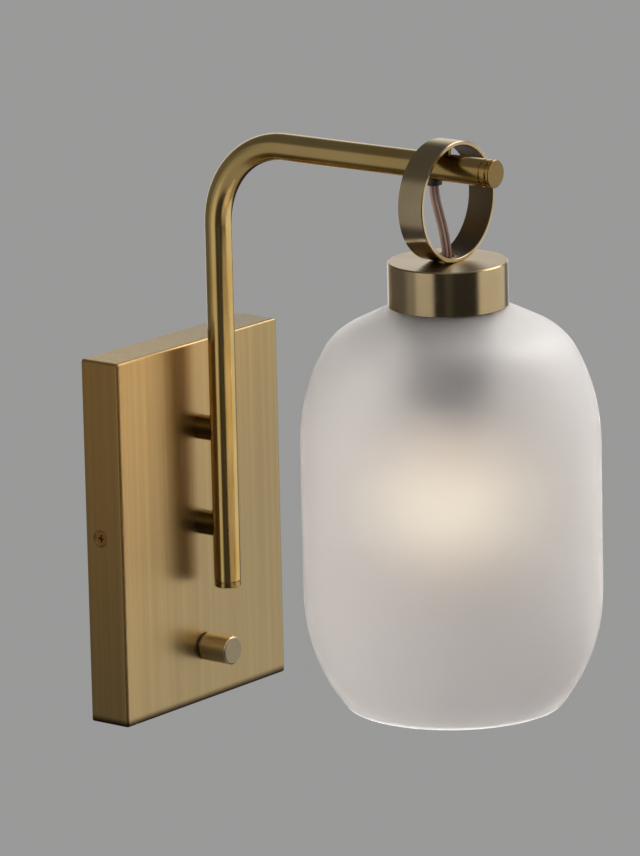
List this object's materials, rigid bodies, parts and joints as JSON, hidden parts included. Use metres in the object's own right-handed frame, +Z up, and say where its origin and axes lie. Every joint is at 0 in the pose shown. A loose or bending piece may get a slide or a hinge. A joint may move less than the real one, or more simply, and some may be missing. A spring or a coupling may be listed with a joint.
{
  "type": "wall lamp",
  "caption": "Brass wall lamp: flat backplate with a dimmer knob, bent tube arm, ring and cap over a frosted glass capsule shade with a bulb inside.",
  "frame": {"origin": "centre of the backplate's open rear and of the bracket's slots, on the wall", "axes": "+Z up, +Y into the wall, +X to the right when facing the wall; the lamp stands out towards -Y"},
  "size_m": [0.14, 0.2422, 0.2909],
  "materials": {
    "plate_brass": "satin, brushed upright",
    "tube_brass": "satin, brushed round the tube",
    "polished_brass": "polished",
    "threaded_brass": "plain",
    "zinc_steel": "zinc plated",
    "ground_green": "green dyed zinc",
    "shade_glass": "frosted white",
    "bulb_glass": "white coated, lit",
    "clear_glass": "clear",
    "filament_wire": "drawn",
    "base_metal": "satin",
    "insulator_glass": "black glass",
    "holder_plastic": "moulded",
    "gasket_rubber": "soft",
    "bushing_black": "moulded",
    "cord_jacket": "soft, pinkish brown",
    "block_plastic": "moulded",
    "dimmer_plastic": "moulded"
  },
  "bodies": {
    "lamp": {"backplate_cover": "plate_brass", "wall_bracket": "zinc_steel", "side_screws": "polished_brass", "ground_screw": "ground_green", "terminal_block": "block_plastic", "terminal_sleeves": "threaded_brass", "terminal_screws": "zinc_steel", "block_fixing": "zinc_steel", "arm_tube": "tube_brass", "upper_standoff": "polished_brass", "lower_standoff": "polished_brass", "standoff_washers": "zinc_steel", "standoff_nuts": "threaded_brass", "lower_end_plug": "tube_brass", "front_end_plug": "tube_brass", "ring": "tube_brass", "ring_stud": "polished_brass", "stud_nut": "threaded_brass", "cord_bushing": "bushing_black", "lamp_cord": "cord_jacket", "ring_nipple": "threaded_brass", "cap_washer": "zinc_steel", "cap_nut": "threaded_brass", "cap": "tube_brass", "holder_cap": "holder_plastic", "holder_body": "holder_plastic", "holder_shell": "base_metal", "holder_contact": "threaded_brass", "holder_screws": "threaded_brass", "shade_gasket": "gasket_rubber", "shade": "shade_glass", "shade_ring": "holder_plastic", "dimmer_body": "dimmer_plastic", "dimmer_washer": "zinc_steel", "dimmer_nut": "zinc_steel"},
    "knob": {"knob": "polished_brass", "dimmer_shaft": "base_metal"},
    "bulb": {"bulb_envelope": "bulb_glass", "bulb_stem": "clear_glass", "bulb_filament": "filament_wire", "bulb_base": "base_metal", "bulb_insulator": "insulator_glass", "bulb_contact": "base_metal"}
  },
  "joints": [
    {"name": "knob_turn", "type": "hinge", "parent": "lamp", "child": "knob", "pos_m": [0, -0.023, -0.062], "axis": [0, -1, 0], "range_deg": [0, 280]},
    {"name": "bulb_unscrew", "type": "slide", "parent": "lamp", "child": "bulb", "axis": [0, 0, -1], "range_m": [0, 0.024]}
  ]
}
